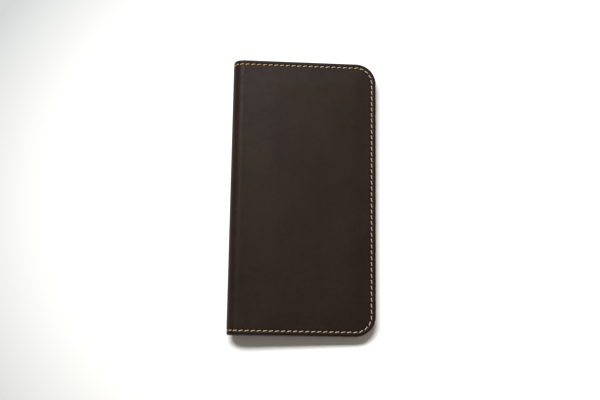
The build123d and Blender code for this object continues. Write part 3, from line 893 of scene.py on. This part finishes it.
def slot_wear_and_crease_shade(mouth):
    """Darker at the mouth's edge from wear, with painted shade along its crease, and at the sewn sides with
    their wear and seam shade.
    """

    def wear_and_shade_at(along, y):
        from_mouth = FOLD_ARC + mouth - along
        return np.maximum(sewn_wear_and_seam_shade(along, y), 0.5 * ridge(from_mouth, 0.8 * MM)
                          + 0.4 * ridge(from_mouth - 1.7 * MM, 0.3 * MM))

    return wear_and_shade_at


for number in range(1, SLOTS + 1):
    riding("front", f"card_slot_{number}", card_slot(number), [INNER_LEATHER, EDGE_PAINT], "inner_leather",
           [f"card_slot_{number}"])


# ---------------------------------------------------------------- coin pocket
def coin_under(u, v):
    """The coin panel's underside: on the bill panel at its seams, raised by COIN_RISE round the zip, with
    a smooth step next to the fold, a long slope to the open edge and a smooth ramp at each end."""
    slope_from, flat_from, flat_to = COIN_PROFILE
    near = smooth((u - slope_from) / (flat_from - slope_from))
    far = 1 - np.clip((u - flat_to) / (HALF_LENGTH - SIDE_MARGIN - flat_to), 0, 1)
    ends = smooth((COIN_SLOPE_HALF - np.abs(v)) / (COIN_SLOPE_HALF - COIN_FLAT_HALF))
    return BASE_TOP + COIN_RISE * near * far * ends


def coin_panel():
    """The coin pocket's front with the zip's window, its rim turned and sewn."""
    rim = 0.4 * MM
    outline = half_outline(False, rim)
    window = Opening((-ZIP_FROM_FOLD, 0.0), WINDOW_WIDTH / 2, WINDOW_LENGTH / 2, WINDOW_WIDTH / 2)
    u_keys = [FREE_EDGE + rim, 4.2 * MM, 7 * MM, 10 * MM - rim, 14.5 * MM, 19 * MM + rim, 25 * MM,
              HALF_LENGTH - 5.2 * MM, HALF_LENGTH - rim]
    run = -ruled(u_keys, np.array([0.4, 0.35, 0.35, 0.5, 0.5, 0.4, 1.5, 0.4]) * MM)[::-1]
    y_keys = np.array([0, 74.5, 79.4, 83, 89, 95 - 0.4]) * MM
    steps = np.array([1.1, 0.45, 0.5, 0.5, 0.4]) * MM
    across = ruled([*-y_keys[:0:-1], *y_keys], [*steps[::-1], *steps])

    def outer(along, y):
        return coin_under(-along, y)

    def inner(along, y):
        u = -along
        channels = sum(ridge(u - at, 0.7 * MM) for at in (8.2 * MM, 20.8 * MM, BASE_SEAM_INSET))
        return coin_under(u, y) + PANEL - top_dip(u, y) - 0.13 * MM * channels

    return sheet(outline, run, across, outer, inner, openings=[window], wear_and_shade_at=sewn_wear_and_seam_shade)


def zip_tape(side):
    """A woven tape, from its corded edge at the teeth to under the window's rim."""
    near = ZIP_FROM_FOLD + side * TAPE_GAP / 2
    far = ZIP_FROM_FOLD + side * (WINDOW_WIDTH / 2 + TAPE_UNDER_RIM)
    low, high = sorted((-near, -far))
    outline = Outline(low, high, TAPE_HALF_LENGTH, 0.3 * MM, 0.3 * MM, 0.12 * MM)

    def swell(along):
        return 0.12 * MM * ridge(along + near + side * 0.45 * MM, 0.4 * MM)

    def outer(along, y):
        return ZIP_LEVEL - TAPE / 2 + 0.06 * MM - swell(along)

    def inner(along, y):
        return ZIP_LEVEL + TAPE / 2 - 0.06 * MM + swell(along)

    return sheet(outline, *outline.lines(0.25 * MM, 0.6 * MM, 1.4 * MM), outer, inner)


def zip_tooth(side):
    """One cast tooth at y = 0: it grips the tape at its foot, is waisted, and ends in a rounded head that
    laps past the middle."""
    reach = np.array([TOOTH_REACH, TOOTH_REACH - 0.2 * MM, 1.1 * MM, 0.55 * MM, 0.1 * MM, -TOOTH_LAP])
    centre = wrap(-(ZIP_FROM_FOLD + side * reach), 0.0, ZIP_LEVEL + 0 * reach)
    sideways = (0, side, 0)
    return bar(centre, sideways, (0, 0, 1), np.array([0.36, 0.48, 0.42, 0.36, 0.48, 0.3]) * MM,
               np.array([0.8, 1.0, 0.9, 0.75, 0.95, 0.62]) * MM)


def tooth_row(side):
    first = -TOOTH_PITCH * (TEETH - 0.5) / 2 + (TOOTH_PITCH / 2 if side > 0 else 0)
    moves = np.zeros((TEETH, 3))
    moves[:, 1] = first + np.arange(TEETH) * TOOTH_PITCH
    return repeated(zip_tooth(side), moves)


def block(low, high, softness):
    """A rounded block between two corners, drawn in by `softness` at its two ends along y."""
    low, high = np.array(low), np.array(high)
    middle, half = (low + high) / 2, (high - low) / 2
    share = np.array([-1, -1 + softness * 0.4, -1 + softness, 1 - softness, 1 - softness * 0.4, 1])
    drawn = np.array([0.72, 0.92, 1, 1, 0.92, 0.72])
    centre = np.array([middle + (0, half[1] * s, 0) for s in share])
    return bar(centre, (0, 0, 1), (1, 0, 0), half[2] * drawn, half[0] * drawn, 0.45)


def node_block(name, softness=0.4):
    """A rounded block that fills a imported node's box."""
    low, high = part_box(name)
    return block(low, high, softness)


def top_stops():
    """The two stops past the last teeth."""
    low, high = (np.array(corner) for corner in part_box("zip_top_stops"))
    middle = FOLD_X + ZIP_FROM_FOLD
    split = 0.5 * MM
    near = block(low, (middle - split, high[1], high[2]), 0.4)
    far = block((middle + split, low[1], low[2]), high, 0.4)
    return together(near, far)


SLIDER_LOW, SLIDER_HIGH = (np.array(corner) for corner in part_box("zip_slider_top"))
SLIDER_FOOT, SLIDER_FACE = (np.array(corner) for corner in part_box("zip_slider_bottom"))
SLIDER_MIDDLE = (SLIDER_LOW + SLIDER_HIGH) / 2
PULL_PIVOT = next(np.array(joint["pos_m"]) for joint in frame["joints"] if joint["name"] == "pull_swing")
PLATE = 0.6 * MM
BRIDGE_HEIGHT = 1.3 * MM


def slider_plate(upper):
    """A slider plate: wide shoulders where the rows meet, waisted behind, a soft dome, and rims turned in
    towards the tape. With t from -1 to 1 along it, its half width is drawn in by up to a twelfth at the
    waist."""
    low, high = (SLIDER_LOW, SLIDER_HIGH) if upper else (SLIDER_FOOT, SLIDER_FACE)
    half_u, half_v = (high[0] - low[0]) / 2, (high[1] - low[1]) / 2
    outline = Outline(-half_u, half_u, half_v, 1.6 * MM, 1.6 * MM, 0.22 * MM)
    lines = outline.lines(0.22 * MM, 0.45 * MM, 1.1 * MM)
    face = SLIDER_HIGH[2] - BRIDGE_HEIGHT if upper else SLIDER_FOOT[2]
    tip = SLIDER_LOW[2] if upper else SLIDER_FACE[2]

    def shaped(a, b, depth):
        t = b / half_v
        waist = 1 - 0.08 * ridge(t + 0.25, 0.42)
        return np.stack([SLIDER_MIDDLE[0] - a * waist, SLIDER_MIDDLE[1] + b, depth], axis=-1)

    def face_side(a, b):
        dome = 0.16 * MM * np.clip((a / half_u) ** 2 + 0.5 * (b / half_v) ** 2, 0, 1.2)
        return face - dome if upper else face + dome

    def channel_side(a, b):
        rim = smooth((np.abs(a) - 2.8 * MM) / (0.2 * MM))
        within = face - PLATE if upper else face + PLATE
        return within + rim * (tip - within)

    if upper:
        return sheet(outline, *lines, channel_side, face_side, place=shaped)
    return sheet(outline, *lines, face_side, channel_side, place=shaped)


def slider_arch():
    """The arch on the top plate that holds the pull: a strap that rises in a quarter turn, runs level and
    comes down again."""
    half, radius = 2.72 * MM, 0.8 * MM
    foot = SLIDER_HIGH[2] - BRIDGE_HEIGHT - 0.2 * MM
    top = SLIDER_HIGH[2] - 0.24 * MM
    turn = np.linspace(0, np.pi / 2, 5)
    rise_y, rise_z = -half + radius * (1 - np.cos(turn)), top - radius * (1 - np.sin(turn))
    y = np.concatenate([[-half], rise_y, [0], -rise_y[::-1], [half]])
    z = np.concatenate([[foot], rise_z, [top], rise_z[::-1], [foot]])
    slope = np.concatenate([[np.pi / 2], np.pi / 2 - turn, [0], -(np.pi / 2 - turn[::-1]), [-np.pi / 2]])
    centre = np.stack([SLIDER_MIDDLE[0] + 0 * y, SLIDER_MIDDLE[1] + y, z], axis=1)
    upwards = np.stack([0 * y, -np.sin(slope), np.cos(slope)], axis=1)
    return bar(centre, (-1, 0, 0), upwards, 0.8 * MM + 0 * y, 0.22 * MM + 0 * y, 0.6)


def slider_pull():
    """The flat pull: an end bar that lies in the arch, a window beside it, sides that draw in a little,
    and a round tip with a hole. It droops from the arch until its tip lies on the leather."""
    half_width, length, bar_half, thick = 1.9 * MM, 18 * MM, 0.45 * MM, 0.6 * MM
    droop = math.radians(2.3)
    rim = 0.2 * MM
    reach = length / 2
    middle = bar_half - reach
    outline = Outline(-half_width, half_width, reach, 1.2 * MM, 1.2 * MM, rim)
    window = Opening((0.0, -2.05 * MM - middle), 1.1 * MM, 1.6 * MM, 0.3 * MM)
    hole = Opening((0.0, bar_half - length + 2.2 * MM - middle), 0.9 * MM, 0.9 * MM, 0.9 * MM)
    a_keys = sorted({round(key, 7) for key in [-half_width + rim, half_width - rim, 0.0,
                                               *window.keys(0, rim), *hole.keys(0, rim)]})
    b_keys = sorted({round(key, 7) for key in [-reach + rim, reach - rim,
                                               *window.keys(1, rim), *hole.keys(1, rim)]})
    run = ruled(a_keys, [0.25 * MM] * len(a_keys))
    across = ruled(b_keys, [0.35 * MM] * len(b_keys))

    def shaped(a, b, depth):
        from_pivot = b + middle
        waist = 1 - 0.13 * ridge(from_pivot + 9.5 * MM, 3.6 * MM)
        y = from_pivot * math.cos(droop) - depth * math.sin(droop)
        z = from_pivot * math.sin(droop) + depth * math.cos(droop)
        return PULL_PIVOT + np.stack([-a * waist, y, z], axis=-1)

    def dome(a, b):
        return 0.07 * MM * (a / half_width) ** 2

    def lower(a, b):
        return -thick / 2 + dome(a, b)

    def upper(a, b):
        return thick / 2 - dome(a, b)

    return sheet(outline, run, across, lower, upper, openings=[window, hole], place=shaped)


riding("back", "coin_panel", coin_panel(), [INNER_LEATHER, EDGE_PAINT], "inner_leather", ["coin_panel"])
for side, name in ((-1, "near_fold"), (1, "far")):
    riding("back", f"zip_tape_{name}", zip_tape(side), [TAPE_WEAVE], "zip_tape", [f"zip_tape_{name}"])
    riding("back", f"zip_teeth_{name}", tooth_row(side), [TOOTH_BRASS], "zip_brass", [f"zip_teeth_{name}"])
riding("back", "zip_top_stops", top_stops(), [TOOTH_BRASS], "zip_brass", ["zip_top_stops"])
riding("back", "zip_bottom_stop", node_block("zip_bottom_stop"), [TOOTH_BRASS], "zip_brass",
       ["zip_bottom_stop"])
riding("zip_slider", "zip_slider_top", together(slider_plate(True), slider_arch()), [SLIDER_BRASS],
       "slider_brass", ["zip_slider_top"])
riding("zip_slider", "zip_slider_bottom", slider_plate(False), [SLIDER_BRASS], "slider_brass",
       ["zip_slider_bottom"])
riding("zip_pull", "zip_pull", slider_pull(), [SLIDER_BRASS], "slider_brass", ["zip_pull"])


# ---------------------------------------------------------------- stitches
def outer_surface(u, v):
    """The cover's outer face at the edge seam, as a depth."""
    return seam_dip(u, v) + edge_thinning(u, v)


def coin_side_surface(u, v):
    """The back half's inner face at the edge seam: the coin panel, or the lining where the seam runs on."""
    return np.where(u > FREE_EDGE, BASE_TOP + PANEL - top_dip(u, v), LINING_TOP)


def card_side_surface(u, v):
    """The front half's inner face at the edge seam: the highest of the panel and the slots' bars, or the
    lining."""
    height = BASE_TOP + 0 * u
    for number in range(1, SLOTS + 1):
        mouth = slot_mouth(number)
        near = FREE_EDGE if number == SLOTS else mouth - BAR
        on_bar = (u > near) & (u < mouth)
        height = np.where(on_bar, np.maximum(height, np.interp(u, *slot_line(number, 0)) + SLOT), height)
    return np.where(u > FREE_EDGE, height - top_dip(u, v), LINING_TOP)


def centre_row():
    """The stitches between the two columns of slots, on the flat stretch of each bar."""
    stretches = [(2 * BASE_SEAM_INSET, slot_mouth(4) - 2 * BAR_OVERLAP)]
    stretches += [(slot_mouth(n + 1), slot_mouth(n) - 2 * BAR_OVERLAP) for n in (3, 2)]
    stretches += [(slot_mouth(2), slot_mouth(1))]
    u = []
    for near, far in stretches:
        count = int((far - near) / STITCH_PITCH)
        u += list((near + far - (count - 1) * STITCH_PITCH) / 2 + np.arange(count) * STITCH_PITCH)
    depth = BASE_TOP + SLOT - 0.16 * MM
    return thread(FOLD_ARC + np.array(u), 0.0, STITCH_LEAN, depth, depth, 1)


def stitching(name, made, replaces=()):
    return name, made, [THREAD], "thread", replaces


back_outside = together(half_seam(False, outer_surface, -1), fold_seam(0, SEAM_SINK, -1))
back_inside = together(half_seam(False, coin_side_surface, 1), fold_seam(0, LINING_TOP, 1))
fold_both = together(fold_seam(1, SEAM_SINK, -1), fold_seam(1, LINING_TOP, 1))
front_outside = together(half_seam(True, outer_surface, -1), fold_seam(2, SEAM_SINK, -1))
front_inside = together(half_seam(True, card_side_surface, 1), fold_seam(2, LINING_TOP, 1))
bending(0, *stitching("back_edge_stitches", back_outside, ["back_edge_stitches"]))
bending(0, *stitching("back_inside_stitches", back_inside))
bending(1, *stitching("fold_stitches", fold_both, ["fold_stitches_lower", "fold_stitches_upper"]))
bending(2, *stitching("front_edge_stitches", front_outside, ["front_edge_stitches"]))
bending(2, *stitching("front_inside_stitches", front_inside))

BASE_ROW_HALF = HALF_Y - SIDE_MARGIN
ZIP_ROW_HALF = WINDOW_WIDTH / 2 + ZIP_SEAM_INSET
ZIP_ROWS = (ZIP_FROM_FOLD - ZIP_ROW_HALF, ZIP_FROM_FOLD + ZIP_ROW_HALF)
ROW_SINK = 0.13 * MM
zip_rows = [cross_row(False, u, COIN_TOP - ROW_SINK, WINDOW_LENGTH / 2) for u in ZIP_ROWS]
coin_base = cross_row(False, BASE_SEAM_INSET, BASE_TOP + PANEL - ROW_SINK, BASE_ROW_HALF)
card_base = cross_row(True, BASE_SEAM_INSET, BASE_TOP + SLOT, BASE_ROW_HALF)
riding("back", *stitching("zip_stitches", together(*zip_rows), ["zip_stitches"]))
riding("back", *stitching("coin_base_stitches", coin_base, ["coin_base_stitches"]))
riding("front", *stitching("card_base_stitches", card_base, ["card_base_stitches"]))
riding("front", *stitching("card_centre_stitches", centre_row(), ["card_centre_stitches"]))


# ---------------------------------------------------------------- floor, light and camera
def make_floor():
    """A plain white table top, just under the wallet, with a painted pool of light: its colour falls off as
    1 - r^2, where r is the distance from a middle beside the wallet over an ellipse's two radii, down to a
    pale grey."""
    half, drop = 3.0, 0.0002
    corners = [(x * half, y * half, -drop) for x, y in ((-1, -1), (1, -1), (1, 1), (-1, 1))]
    mesh = bpy.data.meshes.new("table_top")
    mesh.from_pydata(corners, [], [(0, 1, 2, 3)])
    finish = Finish("table_white", 0.7, specular=0.2)
    middle = finish.add("ShaderNodeMapping", [("vector_type", "TEXTURE")], Vector=finish.object(),
                        Location=(0.082, -0.028, 0), Scale=(0.449, 0.383, 1))
    r = finish.add("ShaderNodeVectorMath", [("operation", "LENGTH")], _0=middle.outputs[0]).outputs["Value"]
    # Painted light: the table's colour darkens away from the middle, a pool of light painted on it.
    tone = finish.spread(finish.math("MULTIPLY", r, r), 0, 0.62, 0.0, 1.0)
    colour = finish.mix(tone, linear(236, 238, 240), linear(153, 157, 160))
    finish.set(finish.shader, **{"Base Color": colour})
    mesh.materials.append(finish.material)
    floor = bpy.data.objects.new("table_top", mesh)
    bpy.context.scene.collection.objects.link(floor)


def soft_light(name, place, size, power, colour):
    """A soft box that faces the wallet, its long side along x."""
    light = bpy.data.lights.new(name, "AREA")
    light.shape, light.energy, light.color = "RECTANGLE", power, colour
    light.size, light.size_y = size
    lamp = bpy.data.objects.new(name, light)
    bpy.context.scene.collection.objects.link(lamp)
    lamp.location = place
    away = np.array(place) / np.linalg.norm(place)
    side = np.array([1, 0, 0]) - away[0] * away
    side /= np.linalg.norm(side)
    lamp.rotation_euler = Matrix((side, np.cross(away, side), away)).transposed().to_euler()


def make_lights():
    """One large window-like light from the upper left, and an even, slightly warm fill from all round."""
    soft_light("window", (-0.44, 0.87, 1.49), (1.15, 0.42), 59, (1.0, 0.985, 0.96))
    world = bpy.data.worlds.new("room")
    world.use_nodes = True
    world.node_tree.nodes["Background"].inputs["Color"].default_value = (1.0, 0.89, 0.74, 1)
    world.node_tree.nodes["Background"].inputs["Strength"].default_value = 0.3
    bpy.context.scene.world = world


def make_camera():
    """A camera above the wallet, a little towards -Y, looking almost straight down."""
    lens = bpy.data.cameras.new("camera")
    lens.lens, lens.sensor_width = 53.7, 36.0
    camera = bpy.data.objects.new("camera", lens)
    bpy.context.scene.collection.objects.link(camera)
    camera.location = (-4.5 * MM, -113.8 * MM, 611.6 * MM)
    camera.rotation_euler = [math.radians(angle) for angle in (10.435, -0.385, 0.836)]
    bpy.context.scene.camera = camera


make_floor()
make_lights()
make_camera()
bpy.context.scene.view_settings.view_transform = "Standard"
